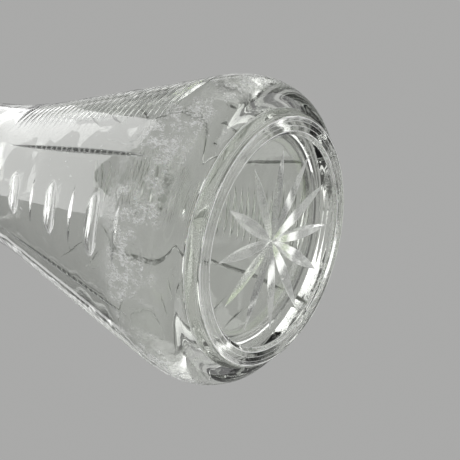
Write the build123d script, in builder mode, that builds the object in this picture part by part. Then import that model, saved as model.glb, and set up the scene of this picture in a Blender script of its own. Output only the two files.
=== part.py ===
"""Cut-crystal mixing glass: a heavy round foot, a tapering cut body, a waist and a flared pouring mouth.

The whole vessel is one piece of glass. It stands on its foot ring: the origin is the centre of the
ring's bottom plane, +Z runs up through the mouth, and the pouring lip points along +X.
Lengths are in millimetres and angles in degrees.
"""

import os
from math import asin, cos, degrees, exp, radians, sin, sqrt, tan

from build123d import *

# Foot and the hollow under it
foot_radius = 42.0  # at the top edge of the foot band
foot_bottom_radius = 40.2  # at the bearing plane
foot_height = 4.1
foot_edge_bevel = 0.6
groove_depth = 0.8  # turned groove between foot and heel, measured in from foot_radius
groove_height = 0.7
hollow_radius = 34.0
hollow_rim_height = 0.9
hollow_depth = 2.8  # at the centre, the tip of a shallow cone
ring_bevel = 1.3  # from the rim of the hollow out to the flat that bears on the table

# Heel: the widest part of the body
body_radius = 50.65
widest_height = 16.7
heel_side_radius = 16.2  # below the widest height
heel_side_angle = 31.0
heel_corner_radius = 6.0
heel_corner_angle = 46.0
heel_top_radius = 35.5  # above the widest height

# Tapering body, waist and mouth
taper = 13.66  # slope of the wall from the vertical
shoulder_height = 97.0  # where the straight taper ends
neck_curve_radius = 220.0
flare_curve_radius = 60.0
total_height = 183.0
rim_bevel = 0.9

# Inside
floor_height = 16.5
floor_corner_radius = 12.0
inner_taper = 11.8  # a little steeper than the outside, so the wall thickens downwards
neck_wall = 3.0  # from the shoulder to the rim

# Pouring lip
lip_start_height = 160.0
lip_reach = 8.0
lip_half_angle = 24.0
lip_points = 24
lip_levels = 6

# Cut decoration on the body: the same group of panels comes round three times
panel_groups = 3
ladder_offset = 60.0  # middle of a ladder column, from the middle of an olive column
upright_offset = 27.0  # the upright mitres beside an olive column

upright_start = 8.0  # the cut only bites above the round of the heel
upright_end = 98.0
upright_depth = 0.95
upright_angle = 92.0

olive_start = 36.0
olive_pitch = 24.5
olive_rows = 3
olive_half_angle = 12.0
olive_edge_radius = 7.6
slim_start = 23.75
slim_rows = 4
slim_half_angle = 11.0
slim_angle = 100.0

ladder_start = 21.8
ladder_pitch = 3.0
ladder_rows = 28
ladder_half_angle = 16.8
ladder_angle = 62.0

# Star cut under the foot
star_rays = 12
star_turn = 21.3  # azimuth of the first ray
star_radius = 29.6
star_overrun = 1.5  # how far a ray runs past the centre
star_wheel_radius = 62.0
star_angle = 96.0

cutter_clearance = 1.0  # how far a cutter stands out of the glass

# Worked out from the sizes above
taper_sin = sin(radians(taper))
taper_cos = cos(radians(taper))
cone_start_radius = body_radius - heel_top_radius * (1 - taper_cos)
cone_start_height = widest_height + heel_top_radius * taper_sin


def cone_radius(height):
    """Outer radius of the straight taper at a height."""
    return cone_start_radius - (height - cone_start_height) * taper_sin / taper_cos


shoulder_radius = cone_radius(shoulder_height)
waist_radius = shoulder_radius - neck_curve_radius * (1 - taper_cos)
waist_height = shoulder_height + neck_curve_radius * taper_sin


def mouth_radius(height, wall):
    """Radius of the flare at a height, a wall's thickness in from the outside."""
    rise = height - waist_height
    return waist_radius + flare_curve_radius - sqrt((flare_curve_radius + wall) ** 2 - rise**2)


def mouth_outline(height, wall):
    """Closed line round the mouth: a circle that swells into the pouring lip towards +X."""
    growth = (height - lip_start_height) / (total_height - lip_start_height)
    points = []
    for step in range(lip_points):
        azimuth = 360 / lip_points * step
        off_lip = min(azimuth, 360 - azimuth) / lip_half_angle
        radius = mouth_radius(height, wall) + lip_reach * growth**2 * exp(-(off_lip**2))
        points.append((radius * cos(radians(azimuth)), radius * sin(radians(azimuth))))
    return Spline(*points, periodic=True)


def mouth_solid(name, wall):
    """Everything inside one surface of the mouth, from the start of the lip up to the rim."""
    rise = total_height - lip_start_height
    with BuildPart() as mouth:
        with BuildSketch(Plane.XY.offset(lip_start_height)):
            Circle(mouth_radius(lip_start_height, wall))
        for level in range(1, lip_levels):
            height = lip_start_height + rise * level / (lip_levels - 1)
            with BuildSketch(Plane.XY.offset(height)):
                with BuildLine():
                    mouth_outline(height, wall)
                make_face()
        loft()
    mouth.part.label = name
    return mouth.part


def mitre_bar(name, length, depth, angle):
    """Straight V-edged cutter: its edge lies along x and it opens along z."""
    half_width = depth * tan(radians(angle / 2))
    with BuildPart() as bar:
        with BuildSketch(Plane.YZ):
            with BuildLine():
                Polyline((0, 0), (half_width, depth), (-half_width, depth), close=True)
            make_face()
        extrude(amount=length / 2, both=True)
    bar.part.label = name
    return bar.part


def mitre_arc(name, wheel_radius, chord, depth, angle):
    """The stretch of a V-edged wheel that spans a chord: centred on the wheel, it bites along x."""
    half_width = depth * tan(radians(angle / 2))
    span = 2 * degrees(asin(chord / 2 / wheel_radius))
    with BuildPart() as arc:
        with BuildSketch(Plane.XY.rotated((0, span / 2, 0))):
            with BuildLine():
                Polyline(
                    (wheel_radius, 0),
                    (wheel_radius - depth, half_width),
                    (wheel_radius - depth, -half_width),
                    close=True,
                )
            make_face()
        revolve(axis=Axis.Y, revolution_arc=-span)
    arc.part.label = name
    return arc.part


def across_the_wall(azimuth, height, half_angle):
    """Plane of a straight cut that runs out of the taper at the half angle on both sides.

    x runs round the glass along the cut, and z points out of the glass.
    """
    radius = cone_radius(height) * cos(radians(half_angle))
    turn = radians(azimuth)
    return Plane(
        origin=(radius * cos(turn), radius * sin(turn), height),
        x_dir=(-sin(turn), cos(turn), 0),
        z_dir=(taper_cos * cos(turn), taper_cos * sin(turn), taper_sin),
    )


def upright_plane(azimuth, start, end, wheel_radius):
    """Plane of a wheel that cuts in an upright plane through the glass's axis.

    The wheel's edge enters the glass at start and leaves it at end, both given as
    (radius, height), with the glass on the left of the way from start to end.
    x points from the wheel's centre into the glass, and z from start to end.
    """
    travel = Vector(end[0] - start[0], end[1] - start[1])
    inward = travel.rotate(Axis.Z, 90).normalized()
    reach = sqrt(wheel_radius**2 - (travel.length / 2) ** 2)
    centre = (Vector(*start) + Vector(*end)) * 0.5 - inward * reach
    turn = radians(azimuth)
    return Plane(
        origin=(centre.X * cos(turn), centre.X * sin(turn), centre.Y),
        x_dir=(inward.X * cos(turn), inward.X * sin(turn), inward.Y),
        z_dir=(travel.X * cos(turn), travel.X * sin(turn), travel.Y),
    )


def column(offset, start, pitch, rows, half_angle):
    """Planes of one kind of cut, up its column in each group of panels."""
    return [
        across_the_wall(offset + 360 / panel_groups * group, start + pitch * row, half_angle)
        for group in range(panel_groups)
        for row in range(rows)
    ]


# Half section, turned about the glass's axis from the foot up to the start of the lip
lip_rise = lip_start_height - waist_height
with BuildPart() as glass:
    with BuildSketch(Plane.XZ) as half_section:
        with BuildLine():
            hollow_rim = (hollow_radius, hollow_rim_height)
            ring_inner = (hollow_radius + ring_bevel, 0)
            ring_outer = (foot_bottom_radius, 0)
            foot_top = (foot_radius, foot_height)
            groove_bottom = (foot_radius - groove_depth, foot_height + groove_height)
            widest = (body_radius, widest_height)
            Polyline((0, hollow_depth), hollow_rim, ring_inner, ring_outer, foot_top, groove_bottom)
            heel_side = JernArc(widest, (0, -1), heel_side_radius, -heel_side_angle)
            heel_corner = JernArc(
                heel_side @ 1, heel_side % 1, heel_corner_radius, -heel_corner_angle
            )
            Line(heel_corner @ 1, groove_bottom)
            heel_top = JernArc(widest, (0, 1), heel_top_radius, taper)
            straight = Line(heel_top @ 1, (shoulder_radius, shoulder_height))
            neck = JernArc(straight @ 1, straight % 1, neck_curve_radius, -taper)
            flare_angle = degrees(asin(lip_rise / flare_curve_radius))
            flare = JernArc(neck @ 1, (0, 1), flare_curve_radius, -flare_angle)
            inner_waist = (waist_radius - neck_wall, waist_height)
            inner_curve_radius = flare_curve_radius + neck_wall
            inner_angle = degrees(asin(lip_rise / inner_curve_radius))
            inner_flare = JernArc(inner_waist, (0, 1), inner_curve_radius, -inner_angle)
            Line(flare @ 1, inner_flare @ 1)
            inner_neck = JernArc(inner_waist, (0, -1), neck_curve_radius + neck_wall, inner_taper)
            wall_run = ((inner_neck @ 1).Y - floor_height) / cos(radians(inner_taper))
            wall = PolarLine(inner_neck @ 1, wall_run, direction=inner_neck % 1)
            Polyline(wall @ 1, (0, floor_height), (0, hollow_depth))
        make_face()
        fillet(half_section.vertices().sort_by_distance(wall @ 1)[0], floor_corner_radius)
        chamfer(half_section.vertices().sort_by_distance(ring_outer)[0], foot_edge_bevel)
    revolve(axis=Axis.Z)

# Mouth with the pouring lip
with glass:
    add(mouth_solid("outer_mouth", 0))
    add(mouth_solid("inner_mouth", neck_wall), mode=Mode.SUBTRACT)
    rim = glass.faces().filter_by(Plane.XY).sort_by(Axis.Z)[-1]
    chamfer(rim.edges(), rim_bevel)

# Star under the foot: each ray enters just past the centre and runs out at the star's radius
hollow_slope = (hollow_depth - hollow_rim_height) / hollow_radius
ray_start = (-star_overrun, hollow_depth - hollow_slope * star_overrun)
ray_end = (star_radius, hollow_depth - hollow_slope * star_radius)
ray_cutter = mitre_arc(
    "ray_cutter",
    star_wheel_radius,
    star_radius + star_overrun + cutter_clearance,
    hollow_depth + cutter_clearance,
    star_angle,
)
ray_planes = [
    upright_plane(star_turn + 360 / star_rays * ray, ray_start, ray_end, star_wheel_radius)
    for ray in range(star_rays)
]
with glass:
    with Locations(*ray_planes):
        add(ray_cutter, mode=Mode.SUBTRACT)

# Upright mitres: one long pointed cut on each side of every olive column
upright_foot = (cone_radius(upright_start), upright_start)
upright_top = (cone_radius(upright_end), upright_end)
upright_length = (upright_end - upright_start) / taper_cos
upright_wheel_radius = upright_length**2 / (8 * upright_depth)
upright_cutter = mitre_arc(
    "upright_cutter",
    upright_wheel_radius,
    upright_length,
    upright_depth + cutter_clearance,
    upright_angle,
)
upright_planes = [
    upright_plane(
        360 / panel_groups * group + side, upright_foot, upright_top, upright_wheel_radius
    )
    for group in range(panel_groups)
    for side in (-upright_offset, upright_offset)
]
with glass:
    with Locations(*upright_planes):
        add(upright_cutter, mode=Mode.SUBTRACT)

# Olive columns: round-edged olive cuts with slim mitres between them
with BuildPart() as olive_bar:
    with BuildSketch(Plane.YZ):
        with Locations((0, olive_edge_radius)):
            Circle(olive_edge_radius)
    extrude(amount=body_radius * sin(radians(olive_half_angle)) + cutter_clearance, both=True)

slim_reach = body_radius * (1 - cos(radians(slim_half_angle))) + cutter_clearance
slim_length = 2 * (body_radius * sin(radians(slim_half_angle)) + cutter_clearance)
slim_bar = mitre_bar("slim_bar", slim_length, slim_reach, slim_angle)

with glass:
    with Locations(*column(0, olive_start, olive_pitch, olive_rows, olive_half_angle)):
        add(olive_bar.part, mode=Mode.SUBTRACT)
    with Locations(*column(0, slim_start, olive_pitch, slim_rows, slim_half_angle)):
        add(slim_bar, mode=Mode.SUBTRACT)

# Ladder columns: fine mitres close above each other
ladder_reach = body_radius * (1 - cos(radians(ladder_half_angle))) + cutter_clearance
ladder_length = 2 * (body_radius * sin(radians(ladder_half_angle)) + cutter_clearance)
ladder_bar = mitre_bar("ladder_bar", ladder_length, ladder_reach, ladder_angle)

with glass:
    with Locations(*column(ladder_offset, ladder_start, ladder_pitch, ladder_rows, ladder_half_angle)):
        add(ladder_bar, mode=Mode.SUBTRACT)

os.makedirs("parts", exist_ok=True)
glass.part.label = "glass"
export_step(glass.part, "parts/glass.step")
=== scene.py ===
"""A mixing glass in cut crystal, on a plain pale floor.

The glass is one closed mesh: a grid of rows (out under the foot, up the outside, over the rim and
down the inside) and columns (round the axis), whose lines follow the edges of the cuts. Lengths in
the drawing are in millimetres and angles in degrees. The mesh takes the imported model's height.
"""

import math

import bpy
import numpy as np
from mathutils import Matrix, Vector


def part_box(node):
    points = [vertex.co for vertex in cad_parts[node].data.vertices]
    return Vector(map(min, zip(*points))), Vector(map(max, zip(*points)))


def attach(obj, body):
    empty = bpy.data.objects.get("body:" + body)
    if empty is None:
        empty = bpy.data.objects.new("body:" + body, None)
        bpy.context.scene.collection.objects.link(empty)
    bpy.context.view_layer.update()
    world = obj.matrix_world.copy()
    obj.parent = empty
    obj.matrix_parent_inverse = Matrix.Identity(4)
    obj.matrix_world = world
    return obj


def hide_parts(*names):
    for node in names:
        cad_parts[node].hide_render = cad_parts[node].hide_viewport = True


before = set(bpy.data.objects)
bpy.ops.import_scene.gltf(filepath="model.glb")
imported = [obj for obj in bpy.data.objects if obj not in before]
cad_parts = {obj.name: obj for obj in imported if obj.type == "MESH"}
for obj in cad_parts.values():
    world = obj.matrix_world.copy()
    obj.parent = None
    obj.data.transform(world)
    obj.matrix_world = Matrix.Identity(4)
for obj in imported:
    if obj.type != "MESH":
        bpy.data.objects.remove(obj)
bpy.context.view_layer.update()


low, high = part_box("glass")

# ---- the drawing of the glass --------------------------------------------------------------
TOTAL_HEIGHT = 183.0
MM = (high[2] - low[2]) / TOTAL_HEIGHT

# Foot, as (radius, height): the bevel in from the hollow, the bearing ring, the bevel out, the band
# and the groove under the heel
HOLLOW_RADIUS = 34.0
HOLLOW_RIM = 0.9
HOLLOW_DEPTH = 2.8
RING_INNER = 35.3
RING_OUTER = 39.6
FOOT_HEIGHT = 4.1
BEVEL_IN = ((HOLLOW_RADIUS, HOLLOW_RIM), (34.25, 0.72), (34.9, 0.27), (35.15, 0.08), (35.6, 0.0))
RING = ((36.6, 0.0), (37.6, 0.0), (38.6, 0.0), (39.5, 0.0))
BEVEL_OUT = ((39.95, 0.13), (40.3, 0.45), (40.52, 0.85))
BAND = ((40.9, 1.6), (41.3, 2.5), (41.65, 3.3), (41.87, 3.82), (41.93, FOOT_HEIGHT), (41.85, 4.3))
GROOVE = ((41.5, 4.56), (41.32, 4.72), (41.5, 4.88), (42.2, 5.02), (43.2, 5.27), (44.1, 5.49))

# Heel and body
HEEL_BOTTOM = (44.55, 5.6)
HEEL_PULLS = (4.8, 3.9)
HEEL_SLOPE = 13.0
BODY_RADIUS = 50.65
WIDEST = 16.7
HEEL_TOP_RADIUS = 35.5
TAPER = math.radians(13.66)
SHOULDER = 97.0

# Waist, mouth and lip
NECK_CURVE = 220.0
FLARE_CURVE = 60.0
RIM_ROUND = 1.25
LIP_START = 160.0
LIP_REACH = 8.0
LIP_HALF_ANGLE = 24.0

# Inside, with the slight unevenness of hand-worked glass, which the rim and the floor don't have
NECK_WALL = 3.0
FLOOR = 16.5
FLOOR_CORNER = 12.0
INNER_TAPER = math.radians(11.8)
RIPPLE = 0.12
# Depths under the rim between which it comes in
RIPPLE_FADE = (4.0, 30.0)
# Its waves: a share, then the turns, rise and phase of each of two factors
RIPPLE_WAVES = (
    (0.5, (3, 0.11, 0.7), (0, 0.19, 1.3)),
    (0.3, (7, -0.23, 2.1), (2, 0.31, 0.0)),
    (0.2, (13, 0.37, 0.0), (-3, 0.47, 0.4)),
)

SIN_T = math.sin(TAPER)
COS_T = math.cos(TAPER)
CONE_R = BODY_RADIUS - HEEL_TOP_RADIUS * (1 - COS_T)
CONE_Z = WIDEST + HEEL_TOP_RADIUS * SIN_T

# Cuts on the body: three equal groups, each with olives and slims at its middle, an upright on each
# side, and a ladder halfway to the next group
GROUPS = 3
UPRIGHT_OFFSET = 27.0
UPRIGHT_SPAN = (8.0, 98.0)
UPRIGHT_DEPTH = 0.95
UPRIGHT_TAN = math.tan(math.radians(46.0))
OLIVES = (36.0, 60.5, 85.0)
OLIVE_HALF = 12.0
OLIVE_EDGE = 7.6
SLIMS = (23.75, 48.25, 72.75, 97.25)
SLIM_HALF = 11.0
SLIM_TAN = math.tan(math.radians(50.0))
LADDERS = tuple(21.8 + 3.0 * row for row in range(28))
LADDER_OFFSET = 60
LADDER_HALF = 16.8
LADDER_TAN = math.tan(math.radians(31.0))

# The star under the foot
STAR_RAYS = 12
RAY_HALF = 15
STAR_TURN = 21.3
STAR_RADIUS = 29.6
STAR_OVERRUN = 1.5
STAR_WHEEL = 62.0
STAR_TAN = math.tan(math.radians(48.0))

# A height or radius that no cut reaches, and how far out a group's own side of the glass begins
OUT_OF_REACH = 99.0
OWN_SIDE = BODY_RADIUS * 0.4

# ---- the grid ------------------------------------------------------------------------------
SECTOR_COLUMNS = 24
COLUMNS = STAR_RAYS * SECTOR_COLUMNS
COLUMN = np.arange(COLUMNS)
# Columns of half a group, from the middle of its olives, that follow the edges of its cuts
HALF_GROUP = COLUMNS // GROUPS // 2
HALF_KNOTS = (0, 10, 19, 20, 21, 32, HALF_GROUP)
# The column that runs up the middle of the first olives
BODY_SHIFT = 5
# Edges with a sharper fold than this are shaded as edges
SHARP_ANGLE = 24

# Half the angle that the columns leave for a ray of the star, and for an upright
LEAST_RAY = 0.8
MOST_RAY = 14.2
PLAIN_RAY = 7.5
RAY_WIDTH_ROUNDS = 12
RAY_WIDTH_LIMIT = 0.9
LEAST_UPRIGHT = 0.3
PLAIN_UPRIGHT = 1.2

# Rows, and half widths that rows keep where a cut runs out
HOLLOW_RADII = (0.35, 0.8, *np.linspace(1.5, STAR_RADIUS, 34), 30.8, 32.2, 33.4)
HEEL_ROWS = 19
OVER_WIDEST = (17.4, 18.1, 18.8, 19.4)
FIRST_CUT_ROW = 19.6
LAST_CUT_ROW = 104.2
ROW_OVER_LADDER = 1.2
MITRE_SIDES = (-1, 0, 1)
LEAST_MITRE = 0.12
OLIVE_SIDES = tuple(math.sin(math.radians(15 * step)) for step in range(-6, 7))
LEAST_OLIVE = 0.6
ROWS_UNDER_FIRST = 4
ROWS_OVER_LAST = 6
NECK_HEIGHTS = np.linspace(106.0, TOTAL_HEIGHT - RIM_ROUND, 40)
RIM_TURNS = np.radians(np.linspace(15, 90, 6))
INSIDE_ROWS = 66
CORNER_ROWS = 19
FLOOR_ROWS = 8


def cone_radius(height):
    """Outer radius of the straight taper."""
    return CONE_R - (height - CONE_Z) * SIN_T / COS_T


SHOULDER_RADIUS = cone_radius(SHOULDER)
WAIST_RADIUS = SHOULDER_RADIUS - NECK_CURVE * (1 - COS_T)
WAIST = SHOULDER + NECK_CURVE * SIN_T


def lip_growth(height, azimuth):
    """How far the pouring lip carries the mouth outwards."""
    growth = np.clip((height - LIP_START) / (TOTAL_HEIGHT - LIP_START), 0, 1)
    off_lip = (np.asarray(azimuth) + 180) % 360 - 180
    return LIP_REACH * growth**2 * np.exp(-((off_lip / LIP_HALF_ANGLE) ** 2))


def outer_radius(height):
    """Outer radius above the widest height, without the lip."""
    height = np.asarray(height, float)
    heel = BODY_RADIUS - HEEL_TOP_RADIUS + np.sqrt(
        np.maximum(HEEL_TOP_RADIUS**2 - (height - WIDEST) ** 2, 0)
    )
    neck = WAIST_RADIUS + NECK_CURVE - np.sqrt(NECK_CURVE**2 - (WAIST - height) ** 2)
    flare = WAIST_RADIUS + FLARE_CURVE - np.sqrt(
        np.maximum(FLARE_CURVE**2 - (height - WAIST) ** 2, 0)
    )
    radius = np.where(height < CONE_Z, heel, cone_radius(height))
    radius = np.where(height > SHOULDER, neck, radius)
    return np.where(height > WAIST, flare, radius)


def inner_radius(height):
    """Inner radius from the foot of the wall up to the rim, without the lip."""
    height = np.asarray(height, float)
    curve = NECK_CURVE + NECK_WALL
    inner_waist = WAIST_RADIUS - NECK_WALL
    neck_foot = WAIST - curve * math.sin(INNER_TAPER)
    neck_radius = inner_waist + curve * (1 - math.cos(INNER_TAPER))
    neck = inner_waist + curve - np.sqrt(curve**2 - (WAIST - height) ** 2)
    flare_curve = FLARE_CURVE + NECK_WALL
    flare = inner_waist + flare_curve - np.sqrt(
        np.maximum(flare_curve**2 - (height - WAIST) ** 2, 0)
    )
    wall = neck_radius + (neck_foot - height) * math.tan(INNER_TAPER)
    radius = np.where(height < neck_foot, wall, neck)
    return np.where(height > WAIST, flare, radius)


def bezier(points, steps):
    """Points along a cubic curve, both ends included."""
    a, b, c, d = (np.array(point, float) for point in points)
    t = np.linspace(0, 1, steps)[:, None]
    return (1 - t) ** 3 * a + 3 * (1 - t) ** 2 * t * b + 3 * (1 - t) * t**2 * c + t**3 * d


def smooth(low_edge, high_edge, value):
    """Eased step from 0 to 1."""
    share = np.clip((value - low_edge) / (high_edge - low_edge), 0, 1)
    return share * share * (3 - 2 * share)


# ---- columns -------------------------------------------------------------------------------
def star_azimuths(edge):
    """Columns that follow the rays of the star: the edges of each ray lie at -edge and +edge."""
    knots = np.linspace(0, SECTOR_COLUMNS, 5)
    places = [-RAY_HALF, -edge, 0, edge, RAY_HALF]
    local = np.interp(COLUMN % SECTOR_COLUMNS, knots, places)
    return STAR_TURN + 2 * RAY_HALF * (COLUMN // SECTOR_COLUMNS) + local


def body_azimuths(upright_width):
    """Columns that follow the cut columns and the edges of the upright mitres."""
    places = [
        0,
        OLIVE_HALF,
        UPRIGHT_OFFSET - upright_width,
        UPRIGHT_OFFSET,
        UPRIGHT_OFFSET + upright_width,
        LADDER_OFFSET - LADDER_HALF,
        LADDER_OFFSET,
    ]
    shifted = COLUMN - BODY_SHIFT
    group = shifted // (2 * HALF_GROUP)
    inside = shifted % (2 * HALF_GROUP)
    mirrored = np.minimum(inside, 2 * HALF_GROUP - inside)
    local = np.interp(mirrored, HALF_KNOTS, places)
    local = np.where(inside <= HALF_GROUP, local, 2 * LADDER_OFFSET - local)
    return 2 * LADDER_OFFSET * group + local


# ---- cuts ----------------------------------------------------------------------------------
def depth_over(height, half_angle, off_column):
    """Where a straight cut's edge meets the wall, and how deep the cut is there."""
    radius = cone_radius(height)
    line = radius * math.cos(math.radians(half_angle))
    across = np.cos(np.radians(off_column))
    rise = (radius * across - line) * SIN_T / (COS_T + SIN_T * SIN_T / COS_T * across)
    depth = ((radius - rise * SIN_T / COS_T) * across - line) * COS_T + rise * SIN_T
    return height + rise, depth


def wall_heights(height, half_angle, off_column, sides, width_of, least):
    """Heights of rows at given shares of a straight cut's half width."""
    middle, depth = depth_over(height, half_angle, off_column)
    width = np.maximum(width_of(np.maximum(depth, 0)), least)
    return [middle + side * width * COS_T for side in sides]


def upright_edge(height):
    """Radius of the bottom of the upright mitres at a height."""
    middle = sum(UPRIGHT_SPAN) / 2
    half = (UPRIGHT_SPAN[1] - UPRIGHT_SPAN[0]) / 2
    depth = UPRIGHT_DEPTH * (1 - ((height - middle) / half) ** 2)
    return cone_radius(height) - depth / COS_T


def upright_half_width(height):
    """Half width of the upright mitres where they meet the wall, in degrees."""
    radius = outer_radius(height)
    bite = np.maximum(radius - upright_edge(height), 0)
    slope = COS_T * UPRIGHT_TAN
    width = -radius / slope + np.sqrt((radius / slope) ** 2 + 2 * radius * bite)
    return np.maximum(np.degrees(width / radius), LEAST_UPRIGHT)


def directions(azimuth):
    """The directions out from the axis and round it, at an azimuth."""
    turn = math.radians(azimuth)
    outward = np.array([math.cos(turn), math.sin(turn), 0])
    sideways = np.array([-math.sin(turn), math.cos(turn), 0])
    return outward, sideways


def cut_bars(points, offset, heights, half_angle, bottom):
    """Carve straight cuts: bottom gives the height of the cutter's edge over its axis."""
    for group in range(GROUPS):
        outward, _ = directions(offset + 2 * LADDER_OFFSET * group)
        normal = outward * COS_T + np.array([0, 0, SIN_T])
        slope = -outward * SIN_T + np.array([0, 0, COS_T])
        own_side = (points @ outward) > OWN_SIDE
        for height in heights:
            line = cone_radius(height) * math.cos(math.radians(half_angle))
            foot = points - (outward * line + np.array([0, 0, height]))
            bite = foot @ normal - bottom(np.abs(foot @ slope))
            bite = np.where(own_side, np.maximum(bite, 0), 0)
            points = points - bite[..., None] * normal
    return points


def cut_uprights(points):
    """Carve the long upright mitres."""
    for group in range(GROUPS):
        for side in (-1, 1):
            outward, sideways = directions(2 * LADDER_OFFSET * group + side * UPRIGHT_OFFSET)
            reach = points @ outward
            across = np.abs(points @ sideways)
            bottom = upright_edge(points[..., 2]) + across / (UPRIGHT_TAN * COS_T)
            bite = np.where(reach > 0, np.maximum(reach - bottom, 0), 0)
            points = points - bite[..., None] * outward
    return points


def hollow_height(radius):
    """Height of the hollow under the foot."""
    return HOLLOW_DEPTH - (HOLLOW_DEPTH - HOLLOW_RIM) * radius / HOLLOW_RADIUS


RAY_START = (-STAR_OVERRUN, float(hollow_height(STAR_OVERRUN)))
RAY_END = (STAR_RADIUS, float(hollow_height(STAR_RADIUS)))
RAY_CHORD = math.dist(RAY_START, RAY_END)
RAY_DROP = (RAY_START[1] - RAY_END[1]) / (RAY_END[0] - RAY_START[0])


def ray_height(along):
    """Height of the bottom of a ray of the star over the table, at a distance from the axis."""
    middle = (RAY_START[0] + RAY_END[0]) / 2
    chord = RAY_START[1] - RAY_DROP * (along - RAY_START[0])
    arc = np.sqrt(np.maximum(STAR_WHEEL**2 - (along - middle) ** 2, 0))
    rise = arc - math.sqrt(STAR_WHEEL**2 - (RAY_CHORD / 2) ** 2)
    inside = (along > RAY_START[0]) & (along < RAY_END[0])
    return np.where(inside, chord + rise, -OUT_OF_REACH)


def star_height(radius, azimuth):
    """Height of the underside with the star cut into it."""
    height = np.broadcast_to(hollow_height(radius), azimuth.shape).copy()
    for ray in range(STAR_RAYS):
        off_ray = np.radians(azimuth - STAR_TURN - 2 * RAY_HALF * ray)
        along = radius * np.cos(off_ray)
        across = np.abs(radius * np.sin(off_ray))
        height = np.maximum(height, ray_height(along) - across / STAR_TAN)
    return height


def ray_edge(radius):
    """Half angle between the edges of a ray, kept off the next ray."""
    if radius >= STAR_RADIUS:
        share = min((radius - STAR_RADIUS) / (HOLLOW_RADIUS - STAR_RADIUS), 1)
        return LEAST_RAY + (PLAIN_RAY - LEAST_RAY) * share
    width = 0.0
    for _ in range(RAY_WIDTH_ROUNDS):
        along = math.sqrt(max(radius**2 - width**2, 0))
        width = max(float(ray_height(np.array(along)) - hollow_height(radius)), 0) * STAR_TAN
        width = min(width, radius * RAY_WIDTH_LIMIT)
    return min(max(math.degrees(math.asin(width / radius)), LEAST_RAY), MOST_RAY)


# ---- rows ----------------------------------------------------------------------------------
def ring(radius, height, azimuth):
    """One row of points round the axis."""
    radius = np.broadcast_to(radius, azimuth.shape)
    height = np.broadcast_to(height, azimuth.shape)
    turn = np.radians(azimuth)
    return np.stack([radius * np.cos(turn), radius * np.sin(turn), height], -1)


def underside_rows():
    """The hollow with its star, from the middle outwards."""
    rows = []
    for radius in HOLLOW_RADII:
        azimuth = star_azimuths(ray_edge(radius))
        rows.append(ring(radius, star_height(radius, azimuth), azimuth))
    return rows


def foot_rows():
    """The foot, the groove and the heel, whose columns turn from the star's to the body's."""
    slope = math.radians(HEEL_SLOPE)
    pulled = (
        HEEL_BOTTOM[0] + HEEL_PULLS[0] * math.cos(slope),
        HEEL_BOTTOM[1] + HEEL_PULLS[0] * math.sin(slope),
    )
    under_widest = (BODY_RADIUS, WIDEST - HEEL_PULLS[1])
    heel = bezier([HEEL_BOTTOM, pulled, under_widest, (BODY_RADIUS, WIDEST)], HEEL_ROWS)
    outline = [*BEVEL_IN, *RING, *BEVEL_OUT, *BAND, *GROOVE, *map(tuple, heel)]
    star = star_azimuths(PLAIN_RAY)
    body = body_azimuths(LEAST_UPRIGHT)
    rows = []
    for step, (radius, height) in enumerate(outline):
        share = float(smooth(0, len(outline) - 1, step))
        rows.append(ring(radius, height, star + (body - star) * share))
    return rows


def ladder_width(depth):
    """Half width of a ladder mitre of a depth."""
    return depth * LADDER_TAN


def slim_width(depth):
    """Half width of a slim mitre of a depth."""
    return depth * SLIM_TAN


def olive_width(depth):
    """Half width of an olive cut of a depth."""
    return np.sqrt(np.maximum(2 * OLIVE_EDGE * depth - depth**2, 0))


def ladder_bottom(off_middle):
    """Height of a ladder cutter's edge over its lowest line."""
    return off_middle / LADDER_TAN


def slim_bottom(off_middle):
    """Height of a slim cutter's edge over its lowest line."""
    return off_middle / SLIM_TAN


def olive_bottom(off_middle):
    """Height of an olive cutter's round edge over its lowest line."""
    inside = np.minimum(off_middle, OLIVE_EDGE)
    height = OLIVE_EDGE - np.sqrt(OLIVE_EDGE**2 - inside**2)
    return np.where(off_middle < OLIVE_EDGE, height, OUT_OF_REACH)


def ladder_layout(off_ladder):
    """Row heights that follow the edges of the ladder's mitres."""
    heights = []
    previous = None
    for height in LADDERS:
        rows = wall_heights(
            height, LADDER_HALF, off_ladder, MITRE_SIDES, ladder_width, LEAST_MITRE
        )
        if previous is not None:
            heights.append((previous + rows[0]) / 2)
        heights += rows
        previous = rows[-1]
    heights.append(previous + ROW_OVER_LADDER)
    return heights


def olive_layout(off_olive, count):
    """As many row heights, which follow the olives and the slim mitres between them."""
    features = [
        wall_heights(height, SLIM_HALF, off_olive, MITRE_SIDES, slim_width, LEAST_MITRE)
        for height in SLIMS
    ]
    features += [
        wall_heights(height, OLIVE_HALF, off_olive, OLIVE_SIDES, olive_width, LEAST_OLIVE)
        for height in OLIVES
    ]
    features.sort(key=lambda rows: float(np.mean(rows[0])))
    spare = count - sum(len(rows) for rows in features)
    between = len(features) - 1
    gaps = [ROWS_UNDER_FIRST]
    gaps += [(spare - ROWS_UNDER_FIRST - ROWS_OVER_LAST) // between] * between
    over_last = spare - sum(gaps)
    heights = []
    start = np.full_like(off_olive, FIRST_CUT_ROW)
    for rows, gap in zip(features, gaps):
        for step in range(gap):
            heights.append(start + (rows[0] - start) * (step + 1) / (gap + 1))
        heights += rows
        start = rows[-1]
    top = np.full_like(off_olive, LAST_CUT_ROW)
    for step in range(over_last):
        heights.append(start + (top - start) * (step + 1) / over_last)
    return heights


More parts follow.
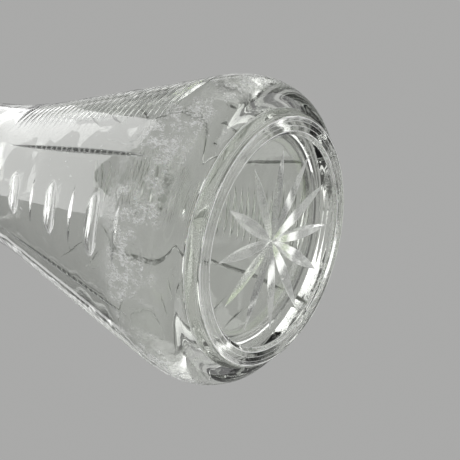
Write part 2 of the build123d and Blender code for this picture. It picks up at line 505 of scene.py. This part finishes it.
def body_rows():
    """The cut part of the body, from the widest height to above the shoulder."""
    nominal = body_azimuths(PLAIN_UPRIGHT)
    off_olive = (nominal + LADDER_OFFSET) % (2 * LADDER_OFFSET) - LADDER_OFFSET
    off_ladder = nominal % (2 * LADDER_OFFSET) - LADDER_OFFSET
    ladder = ladder_layout(off_ladder)
    olive = olive_layout(off_olive, len(ladder))
    ladder_side = LADDER_OFFSET - LADDER_HALF
    share = smooth(OLIVE_HALF + 1, ladder_side - 1, np.abs(off_olive))
    at_upright = int(np.argmin(np.abs(off_olive - UPRIGHT_OFFSET)))
    heights = [np.full(COLUMNS, height) for height in OVER_WIDEST]
    heights += [start + (end - start) * share for start, end in zip(olive, ladder)]
    rows = []
    for height in heights:
        width = float(upright_half_width(height[at_upright]))
        azimuth = body_azimuths(width)
        rows.append(ring(outer_radius(height), height, azimuth))
    points = np.array(rows)
    points = cut_bars(points, LADDER_OFFSET, LADDERS, LADDER_HALF, ladder_bottom)
    points = cut_bars(points, 0, SLIMS, SLIM_HALF, slim_bottom)
    points = cut_bars(points, 0, OLIVES, OLIVE_HALF, olive_bottom)
    return list(cut_uprights(points))


def neck_and_mouth_rows():
    """The waist, the flare with its lip, and the rounded rim."""
    azimuth = body_azimuths(PLAIN_UPRIGHT)
    rows = []
    for height in NECK_HEIGHTS:
        rows.append(ring(outer_radius(height) + lip_growth(height, azimuth), height, azimuth))
    for side, turns, wall in ((-1, RIM_TURNS, outer_radius), (1, RIM_TURNS[::-1], inner_radius)):
        for turn in turns:
            height = TOTAL_HEIGHT - RIM_ROUND * (1 - math.sin(turn))
            radius = wall(height) + lip_growth(height, azimuth)
            rows.append(ring(radius + side * RIM_ROUND * (1 - math.cos(turn)), height, azimuth))
    return rows


def ripple(height, azimuth):
    """The unevenness of the inside wall, as a share of its most."""
    turn = np.radians(azimuth)
    total = 0.0
    for share, *factors in RIPPLE_WAVES:
        wave = share
        for turns, rise, phase in factors:
            wave = wave * np.sin(turns * turn + rise * height + phase)
        total = total + wave
    return total


def inside_rows():
    """The inside from under the rim down to the floor."""
    azimuth = body_azimuths(PLAIN_UPRIGHT)
    corner_angle = math.pi / 2 + INNER_TAPER
    tangent = FLOOR_CORNER * math.tan(corner_angle / 2)
    middle_height = FLOOR + FLOOR_CORNER
    floor_flat = float(inner_radius(FLOOR)) - tangent
    wall_foot = FLOOR + tangent * math.cos(INNER_TAPER)
    still, full = (TOTAL_HEIGHT - depth for depth in RIPPLE_FADE)
    rows = []
    for height in np.linspace(TOTAL_HEIGHT - RIM_ROUND, wall_foot, INSIDE_ROWS):
        fade = float(smooth(still, full, height))
        wave = RIPPLE * fade * ripple(height, azimuth)
        radius = inner_radius(height) + lip_growth(height, azimuth)
        rows.append(ring(radius - wave, height, azimuth))
    for turn in np.linspace(corner_angle, 0, CORNER_ROWS)[1:]:
        height = middle_height - FLOOR_CORNER * math.cos(turn)
        fade = float(smooth(FLOOR, wall_foot, height))
        wave = RIPPLE * fade * ripple(height, azimuth)
        rows.append(ring(floor_flat + FLOOR_CORNER * math.sin(turn) - wave, height, azimuth))
    for radius in np.linspace(floor_flat, 0, FLOOR_ROWS)[1:-1]:
        rows.append(ring(radius, FLOOR, azimuth))
    return rows


def grid_faces(rows):
    """Faces of a grid of rows, closed by a fan at its bottom pole and one at its top pole."""
    bottom_pole = rows * COLUMNS
    top_pole = bottom_pole + 1
    faces = []
    following = np.roll(COLUMN, -1)
    for row in range(rows - 1):
        here = row * COLUMNS
        above = here + COLUMNS
        faces += zip(
            (here + COLUMN).tolist(),
            (here + following).tolist(),
            (above + following).tolist(),
            (above + COLUMN).tolist(),
        )
    last = (rows - 1) * COLUMNS
    for column in range(COLUMNS):
        other = (column + 1) % COLUMNS
        faces.append((bottom_pole, other, column))
        faces.append((top_pole, last + column, last + other))
    return faces


def glass_mesh():
    """The closed mesh of the whole glass, which also keeps how deep each point is cut."""
    underside, foot, body = underside_rows(), foot_rows(), body_rows()
    grid = np.array(underside + foot + body + neck_and_mouth_rows() + inside_rows())
    radius, height = np.hypot(grid[..., 0], grid[..., 1]), grid[..., 2]
    depth = np.zeros_like(radius)
    depth[: len(underside)] = (height - hollow_height(radius))[: len(underside)]
    cut_rows = slice(len(underside) + len(foot), len(underside) + len(foot) + len(body))
    depth[cut_rows] = (outer_radius(height) - radius)[cut_rows]
    star_middle = float(star_height(0.0, np.zeros(1))[0])
    poles = [[0, 0, star_middle], [0, 0, FLOOR]]
    vertices = np.concatenate([grid.reshape(-1, 3), poles]) * MM
    mesh = bpy.data.meshes.new("cut_glass")
    mesh.from_pydata([tuple(vertex) for vertex in vertices], [], grid_faces(len(grid)))
    ground = mesh.attributes.new("cut_depth", "FLOAT", "POINT")
    ground.data.foreach_set("value", np.append(depth.ravel(), [star_middle - HOLLOW_DEPTH, 0]))
    mesh.validate()
    mesh.shade_smooth()
    mesh.set_sharp_from_angle(angle=math.radians(SHARP_ANGLE))
    return mesh


# ---- node helpers --------------------------------------------------------------------------
def link(tree, source, target):
    """Join an output socket to an input socket."""
    tree.links.new(source, target)


def node(tree, kind, **values):
    """Add a node, with its attributes and its inputs' values."""
    made = tree.nodes.new(kind)
    for name, value in values.items():
        if hasattr(made, name):
            setattr(made, name, value)
        else:
            made.inputs[name.replace("_", " ")].default_value = value
    return made


def ramp(tree, value, low_edge, high_edge, low_value=0.0, high_value=1.0):
    """A smooth step of a value."""
    made = node(tree, "ShaderNodeMapRange", interpolation_type="SMOOTHSTEP")
    made.inputs["From Min"].default_value = low_edge
    made.inputs["From Max"].default_value = high_edge
    made.inputs["To Min"].default_value = low_value
    made.inputs["To Max"].default_value = high_value
    link(tree, value, made.inputs["Value"])
    return made.outputs["Result"]


def step_mm(tree, length, start, full, low_value=0.0, high_value=1.0):
    """A smooth step of a length, between two lengths in millimetres."""
    return ramp(tree, length, start * MM, full * MM, low_value, high_value)


def join(tree, operation, *values):
    """Arithmetic on values from the left, each a socket or a number."""
    total = values[0]
    for value in values[1:]:
        made = node(tree, "ShaderNodeMath", operation=operation)
        for index, operand in enumerate((total, value)):
            if isinstance(operand, (int, float)):
                made.inputs[index].default_value = operand
            else:
                link(tree, operand, made.inputs[index])
        total = made.outputs[0]
    return total


def near_mm(tree, length, middle):
    """One where a length is close to a line at so many millimetres, and nothing beside it."""
    off = join(tree, "ABSOLUTE", join(tree, "SUBTRACT", length, middle * MM), 0.0)
    return step_mm(tree, off, EDGE_REACH, EDGE_REACH * EDGE_CORE)


def noise(tree, coordinates, scale, detail=3.0, roughness=0.55, stretch=(1, 1, 1)):
    """Noise over the object's own coordinates."""
    mapping = node(tree, "ShaderNodeMapping")
    mapping.inputs["Scale"].default_value = stretch
    link(tree, coordinates, mapping.inputs["Vector"])
    made = node(tree, "ShaderNodeTexNoise", Scale=scale, Detail=detail, Roughness=roughness)
    link(tree, mapping.outputs["Vector"], made.inputs["Vector"])
    return made.outputs["Fac"]


def marks(tree, coordinates, kind, least=0.0, most=1.0):
    """Noise cut off into marks, which start at one value of it and are full at another."""
    (start, full), grain = kind
    return ramp(tree, noise(tree, coordinates, **grain), start, full, least, most)


def new_tree(owner):
    """The empty node tree of a material or a world."""
    owner.use_nodes = True
    owner.node_tree.nodes.clear()
    return owner.node_tree


# ---- material ------------------------------------------------------------------------------
GLASS_IOR = 1.52
CLEAN_COLOUR = (0.975, 0.985, 0.965, 1)
# The colour of wear, which also paints the frosted lines along the cut edges as a highlight
WEAR_AND_HIGHLIGHT_COLOUR = (0.95, 0.955, 0.95, 1)
SHADOW_COLOUR = (0.93, 0.95, 0.92, 1)
SHADOW_SHARE = 0.85
DEPTH_COLOUR = (0.84, 0.90, 0.74, 1)
DEPTH_DENSITY = 4.0
WEAR_AND_HIGHLIGHT_FROST = 0.8
WORN_ROUGHNESS = 0.5

# Where wear starts and is full, in millimetres: heights, then distances off the axis, and how far
# the wear of an edge reaches and the share of that where it is full
SCUFFS_FROM = (6.0, 12.0)
SCUFFS_UP_TO = (34.0, 18.0)
FOOT_UNDER = (6.2, 5.6)
RING_UNDER = (1.2, 0.35)
STAR_UNDER = (7.0, 6.0)
OFF_WALL = (30.0, 34.0)
OFF_HEEL = (43.5, 46.5)
OFF_RING = (34.0, 35.4)
OFF_FOOT = (33.9, 34.3)
OFF_EDGES = (33.0, 33.8)
HOLLOW_EDGE = 34.1
EDGE_REACH = 0.25
EDGE_CORE = 0.3

# Depths, in the millimetres of the mesh's own attribute: the ground faces, and the frosted lines
# along their edges, partly edge wear and partly a painted highlight
GROUND_DEPTH = (0.03, 0.15)
EDGE_DEPTH_IN = (0.01, 0.06)
EDGE_DEPTH_OUT = (0.32, 0.16)

# How much of full wear each kind of mark has: a cut's grain on the body, then in the star
CLOUD_WEAR = 0.10
STRAY_WEAR = 0.6
RING_WEAR = 0.3
TURNED_WEAR = 0.55
GRAIN_WEAR = (0.18, 0.40)
# The frosted lines along the cut edges: partly edge wear, partly a painted highlight where light
# would catch the edges
CUT_EDGE_WEAR_AND_HIGHLIGHT = 0.45
HAZE = 0.035

# Kinds of marks: the noise values where they start and are full, and the noise, per metre
PATCHES = (0.40, 0.56), dict(scale=60.0, detail=4.0, roughness=0.6)
CURLS = (0.46, 0.56), dict(scale=1500.0, detail=5.0, roughness=0.75, stretch=(1, 1, 0.6))
STREAKS = (0.54, 0.61), dict(scale=2000.0, roughness=0.6, stretch=(1, 1, 0.16))
CLUSTERS = (0.41, 0.55), dict(scale=240.0, detail=4.0, roughness=0.75)
STRAY_SCRATCHES = (0.64, 0.74), dict(scale=1100.0, roughness=0.6, stretch=(1, 1, 0.12))
STRAY_PATCHES = (0.45, 0.6), dict(scale=30.0)
RING_FROST = (0.45, 0.75), dict(scale=1200.0, detail=5.0, roughness=0.7)
TURNED_LINES = (0.58, 0.66), dict(scale=1500.0, detail=2.0, roughness=0.6)
EDGE_CHIPS = (0.3, 0.6), dict(scale=140.0, detail=4.0, roughness=0.7)
WHEEL_GRAIN = (0.3, 0.7), dict(scale=2400.0, roughness=0.7)
HAZE_CLOUDS = (0.35, 0.75), dict(scale=38.0)
WAVE_SCALE = 120.0


def wall_wear(tree, place, height, across):
    """A band of fine short marks round the widest part, and a few long scratches further up."""
    band = join(
        tree,
        "MULTIPLY",
        step_mm(tree, height, *SCUFFS_FROM),
        step_mm(tree, height, *SCUFFS_UP_TO),
        step_mm(tree, across, *OFF_HEEL),
    )
    patches = marks(tree, place, PATCHES)
    curls = marks(tree, place, CURLS)
    streaks = marks(tree, place, STREAKS)
    clusters = marks(tree, place, CLUSTERS)
    scuffed = join(tree, "MULTIPLY", join(tree, "MAXIMUM", curls, streaks), clusters)
    clouded = join(tree, "MULTIPLY", clusters, CLOUD_WEAR)
    scuffs = join(tree, "MULTIPLY", band, patches, join(tree, "MAXIMUM", scuffed, clouded))
    stray = join(
        tree,
        "MULTIPLY",
        marks(tree, place, STRAY_SCRATCHES),
        marks(tree, place, STRAY_PATCHES),
        step_mm(tree, across, *OFF_WALL),
        STRAY_WEAR,
    )
    return join(tree, "MAXIMUM", scuffs, stray)


def foot_wear(tree, place, height, across):
    """Light wear on the ring, turned lines over the foot, and more wear along its edges."""
    low_down = step_mm(tree, height, *RING_UNDER)
    ring_wear = join(
        tree,
        "MULTIPLY",
        step_mm(tree, across, *OFF_RING),
        low_down,
        marks(tree, place, RING_FROST, most=RING_WEAR),
    )
    section = node(tree, "ShaderNodeCombineXYZ")
    link(tree, across, section.inputs["X"])
    link(tree, height, section.inputs["Z"])
    lines = marks(tree, section.outputs[0], TURNED_LINES)
    on_foot = join(
        tree, "MULTIPLY", step_mm(tree, across, *OFF_FOOT), step_mm(tree, height, *FOOT_UNDER)
    )
    turned = join(tree, "MULTIPLY", lines, on_foot, TURNED_WEAR)
    under = [near_mm(tree, across, radius) for radius in (HOLLOW_EDGE, RING_INNER, RING_OUTER)]
    under = join(tree, "MULTIPLY", join(tree, "MAXIMUM", *under), low_down)
    edges = join(
        tree,
        "MULTIPLY",
        join(tree, "MAXIMUM", under, near_mm(tree, height, FOOT_HEIGHT)),
        step_mm(tree, across, *OFF_EDGES),
        marks(tree, place, EDGE_CHIPS, least=0.3),
    )
    return join(tree, "MAXIMUM", ring_wear, turned, edges)


def cut_wear_and_edge_highlight(tree, place, height):
    """The wheel's fine grain in the cuts, most of it in the star, which no one polishes, and
    frosted lines along the cut edges, partly edge wear and partly a painted highlight.
    """
    depth = node(tree, "ShaderNodeAttribute", attribute_name="cut_depth").outputs["Fac"]
    grain = marks(tree, place, WHEEL_GRAIN, least=0.7)
    amount = join(tree, "MULTIPLY", grain, step_mm(tree, height, *STAR_UNDER, *GRAIN_WEAR))
    ground = join(tree, "MULTIPLY", ramp(tree, depth, *GROUND_DEPTH), amount)
    edges = join(
        tree,
        "MULTIPLY",
        ramp(tree, depth, *EDGE_DEPTH_IN),
        ramp(tree, depth, *EDGE_DEPTH_OUT),
        CUT_EDGE_WEAR_AND_HIGHLIGHT,
    )
    return join(tree, "MAXIMUM", ground, edges)


def crystal_material():
    """Clear cut glass: scuffed round the widest part, with wear on the foot, ground cuts, and
    frosted cut edges that are partly a painted highlight.
    """
    material = bpy.data.materials.new("crystal_glass")
    tree = new_tree(material)
    place = node(tree, "ShaderNodeTexCoord").outputs["Object"]
    parts = node(tree, "ShaderNodeSeparateXYZ")
    link(tree, place, parts.inputs[0])
    height = parts.outputs["Z"]
    squares = [join(tree, "MULTIPLY", parts.outputs[axis], parts.outputs[axis]) for axis in "XY"]
    across = join(tree, "SQRT", join(tree, "ADD", *squares), 0.0)
    # Scuffs, foot wear and ground cuts, and frosted lines along the cut edges that are partly a
    # painted highlight
    wear_and_edge_highlight = join(
        tree,
        "MAXIMUM",
        wall_wear(tree, place, height, across),
        foot_wear(tree, place, height, across),
        cut_wear_and_edge_highlight(tree, place, height),
    )

    shader = node(tree, "ShaderNodeBsdfPrincipled")
    shader.inputs["IOR"].default_value = GLASS_IOR
    # Where the mask is full the glass is frosted paler: wear, and along the cut edges partly a
    # painted highlight
    colour = node(tree, "ShaderNodeMix", data_type="RGBA")
    colour.inputs["A"].default_value = CLEAN_COLOUR
    colour.inputs["B"].default_value = WEAR_AND_HIGHLIGHT_COLOUR
    link(tree, wear_and_edge_highlight, colour.inputs["Factor"])
    link(tree, colour.outputs["Result"], shader.inputs["Base Color"])
    clear = join(tree, "SUBTRACT", 1.0, join(tree, "MULTIPLY", wear_and_edge_highlight, WEAR_AND_HIGHLIGHT_FROST))
    link(tree, clear, shader.inputs["Transmission Weight"])
    haze = marks(tree, place, HAZE_CLOUDS, most=HAZE)
    rough = join(tree, "ADD", haze, join(tree, "MULTIPLY", wear_and_edge_highlight, WORN_ROUGHNESS))
    link(tree, rough, shader.inputs["Roughness"])

    wave = node(tree, "ShaderNodeBump", Strength=0.35, Distance=0.05 * MM)
    link(tree, noise(tree, place, WAVE_SCALE, detail=2.0), wave.inputs["Height"])
    scratch = node(tree, "ShaderNodeBump", Strength=0.6, Distance=0.03 * MM)
    link(tree, wear_and_edge_highlight, scratch.inputs["Height"])
    link(tree, wave.outputs["Normal"], scratch.inputs["Normal"])
    link(tree, scratch.outputs["Normal"], shader.inputs["Normal"])

    # Light reaches the table through clear glass
    through = node(tree, "ShaderNodeBsdfTransparent", Color=SHADOW_COLOUR)
    path = node(tree, "ShaderNodeLightPath")
    lets_by = join(tree, "MULTIPLY", path.outputs["Is Shadow Ray"], SHADOW_SHARE)
    mixed = node(tree, "ShaderNodeMixShader")
    link(tree, lets_by, mixed.inputs["Fac"])
    link(tree, shader.outputs["BSDF"], mixed.inputs[1])
    link(tree, through.outputs["BSDF"], mixed.inputs[2])
    tint = node(tree, "ShaderNodeVolumeAbsorption", Color=DEPTH_COLOUR, Density=DEPTH_DENSITY)
    output = node(tree, "ShaderNodeOutputMaterial")
    link(tree, mixed.outputs["Shader"], output.inputs["Surface"])
    link(tree, tint.outputs["Volume"], output.inputs["Volume"])
    return material


glass = bpy.data.objects.new("cut_glass_body", glass_mesh())
bpy.context.scene.collection.objects.link(glass)
glass.data.materials.append(crystal_material())
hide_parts("glass")
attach(glass, "root")


# ---- floor ---------------------------------------------------------------------------------
BACKGROUND = (0.40, 0.40, 0.395, 1)
FLOOR_SIZE = 6.0
FLOOR_FADE = (0.22, 0.75)
UNDER_GLASS = (0.12, 0.09)


def floor_material():
    """Plain pale floor, seen only from above.

    It fades into the backdrop further off. Next to the foot, light that leaves the glass passes it,
    as it does under a glass that is held up to be looked at.
    """
    material = bpy.data.materials.new("pale_floor")
    tree = new_tree(material)
    shader = node(tree, "ShaderNodeBsdfPrincipled", Roughness=0.6)
    shader.inputs["Base Color"].default_value = BACKGROUND
    shader.inputs["Specular IOR Level"].default_value = 0.2
    clear = node(tree, "ShaderNodeBsdfTransparent")
    path = node(tree, "ShaderNodeLightPath")
    side = node(tree, "ShaderNodeNewGeometry")
    off_middle = node(tree, "ShaderNodeVectorMath", operation="LENGTH")
    link(tree, node(tree, "ShaderNodeTexCoord").outputs["Object"], off_middle.inputs[0])
    off_middle = off_middle.outputs["Value"]
    indirect = join(tree, "SUBTRACT", 1.0, path.outputs["Is Camera Ray"])
    hidden = join(
        tree,
        "MAXIMUM",
        side.outputs["Backfacing"],
        path.outputs["Is Shadow Ray"],
        ramp(tree, off_middle, *FLOOR_FADE),
        join(tree, "MULTIPLY", ramp(tree, off_middle, *UNDER_GLASS), indirect),
    )
    mixed = node(tree, "ShaderNodeMixShader")
    link(tree, hidden, mixed.inputs["Fac"])
    link(tree, shader.outputs["BSDF"], mixed.inputs[1])
    link(tree, clear.outputs["BSDF"], mixed.inputs[2])
    output = node(tree, "ShaderNodeOutputMaterial")
    link(tree, mixed.outputs["Shader"], output.inputs["Surface"])
    return material


floor_mesh = bpy.data.meshes.new("floor")
half = FLOOR_SIZE / 2
corners = ((-half, -half), (half, -half), (half, half), (-half, half))
floor_mesh.from_pydata([(x, y, low[2]) for x, y in corners], [], [(0, 1, 2, 3)])
floor = bpy.data.objects.new("floor", floor_mesh)
bpy.context.scene.collection.objects.link(floor)
floor.data.materials.append(floor_material())


# ---- backdrop ------------------------------------------------------------------------------
FILL = 0.65
DARKEST = 0.25
# Directions, and the cosines of the angle off them between which the backdrop changes
BACKDROP_MIDDLE = (71, 34)
BACKDROP_EDGE = (0.865, 0.935)
DARK_FLAGS = (30, 247)
FLAG_EDGE = (0.88, 0.82)
# Rises over the horizon between which it gets pale, from underneath and from overhead
PALE_FROM_BELOW = (-0.5, -0.3)
PALE_FROM_ABOVE = (0.30, 0.21)


def heading_of(azimuth, elevation):
    """A direction from its two angles in degrees."""
    turn, tilt = math.radians(azimuth), math.radians(elevation)
    return (math.cos(tilt) * math.cos(turn), math.cos(tilt) * math.sin(turn), math.sin(tilt))


def toward(tree, heading, azimuth, elevation):
    """The cosine of the angle between a heading and a direction."""
    made = node(tree, "ShaderNodeVectorMath", operation="DOT_PRODUCT")
    link(tree, heading, made.inputs[0])
    made.inputs[1].default_value = heading_of(azimuth, elevation)
    return made.outputs["Value"]


def light_world():
    """A white fill, and a backdrop for the camera and the glass to see.

    The backdrop is pale round the horizon and up behind the glass. It is dark overhead, underneath
    and in two upright strips, which gives the clear glass its dark lines.
    """
    world = bpy.data.worlds.new("studio")
    bpy.context.scene.world = world
    sky = new_tree(world)
    fill = node(sky, "ShaderNodeBackground", Color=(1, 1, 1, 1), Strength=FILL)
    heading = node(sky, "ShaderNodeTexCoord").outputs["Generated"]
    behind = ramp(sky, toward(sky, heading, *BACKDROP_MIDDLE), *BACKDROP_EDGE)
    compass = node(sky, "ShaderNodeSeparateXYZ")
    link(sky, heading, compass.inputs[0])
    rise = compass.outputs["Z"]
    flags = [ramp(sky, toward(sky, heading, flag, 0), *FLAG_EDGE) for flag in DARK_FLAGS]
    level = join(
        sky,
        "MULTIPLY",
        ramp(sky, rise, *PALE_FROM_BELOW),
        ramp(sky, rise, *PALE_FROM_ABOVE),
        *flags,
    )
    level = join(sky, "MAXIMUM", behind, level)
    seen = node(sky, "ShaderNodeBackground", Color=BACKGROUND)
    link(sky, ramp(sky, level, 0.0, 1.0, DARKEST, 1.0), seen.inputs["Strength"])
    rays = node(sky, "ShaderNodeLightPath").outputs
    shown = join(
        sky,
        "MAXIMUM",
        rays["Is Camera Ray"],
        rays["Is Glossy Ray"],
        rays["Is Transmission Ray"],
    )
    choice = node(sky, "ShaderNodeMixShader")
    link(sky, shown, choice.inputs["Fac"])
    link(sky, fill.outputs["Background"], choice.inputs[1])
    link(sky, seen.outputs["Background"], choice.inputs[2])
    output = node(sky, "ShaderNodeOutputWorld")
    link(sky, choice.outputs["Shader"], output.inputs["Surface"])


light_world()

# ---- lamps ---------------------------------------------------------------------------------
WINDOW_SIZE = (0.74, 0.58)
WINDOW_POWER = 2.8
WINDOW_PLACE = (0.13, -0.04, 0.86)
LAMP_DISTANCE = 0.8
# Name, azimuth, elevation, size and power
SOFTBOXES = (
    ("back_left", 106, 42, (0.12, 0.5), 0.11),
    ("back_left_edge", 121, 40, (0.05, 0.7), 0.12),
    ("back_right", 36, 42, (0.12, 0.5), 0.11),
    ("back_right_edge", 21, 40, (0.05, 0.7), 0.12),
    ("low_left", 105, -44, (0.45, 0.45), 0.85),
    ("low_right", 37, -44, (0.45, 0.45), 0.85),
)


def area_lamp(name, size, power):
    """A rectangular lamp that the camera doesn't see."""
    lamp = bpy.data.lights.new(name, "AREA")
    lamp.shape = "RECTANGLE"
    lamp.size, lamp.size_y = size
    lamp.energy = power
    made = bpy.data.objects.new(name, lamp)
    made.visible_camera = False
    bpy.context.scene.collection.objects.link(made)
    return made


window = area_lamp("window", WINDOW_SIZE, WINDOW_POWER)
window.location = WINDOW_PLACE
for name, azimuth, elevation, size, power in SOFTBOXES:
    softbox = area_lamp(name, size, power)
    away = Vector(heading_of(azimuth, elevation))
    softbox.location = Vector((0, 0, (low[2] + high[2]) / 2)) + away * LAMP_DISTANCE
    softbox.rotation_euler = away.to_track_quat("Z", "Y").to_euler()

# ---- camera --------------------------------------------------------------------------------
# It looks up at the foot from the side, rolled as it would be over a glass that lies down
CAMERA_HEADING = (251.0, -34.45)
CAMERA_ROLL = math.radians(75.04)
CAMERA_DISTANCE = 277.0 * MM
CAMERA_TARGET = 19.5 * MM
CAMERA_LENS = 66.5
CAMERA_SENSOR = 36.0
CAMERA_NEAR = 0.005

target = Vector((0, 0, low[2] + CAMERA_TARGET))
away = Vector(heading_of(*CAMERA_HEADING))
level_right = Vector((0, 0, 1)).cross(away).normalized()
level_up = away.cross(level_right)
up = level_up * math.cos(CAMERA_ROLL) + level_right * math.sin(CAMERA_ROLL)
right = up.cross(away)
camera_data = bpy.data.cameras.new("camera")
camera_data.lens = CAMERA_LENS
camera_data.sensor_width = CAMERA_SENSOR
camera_data.clip_start = CAMERA_NEAR
camera = bpy.data.objects.new("camera", camera_data)
turn = Matrix((right, up, away)).transposed().to_4x4()
camera.matrix_world = Matrix.Translation(target + away * CAMERA_DISTANCE) @ turn
bpy.context.scene.collection.objects.link(camera)
bpy.context.scene.camera = camera
bpy.context.scene.view_settings.view_transform = "Standard"
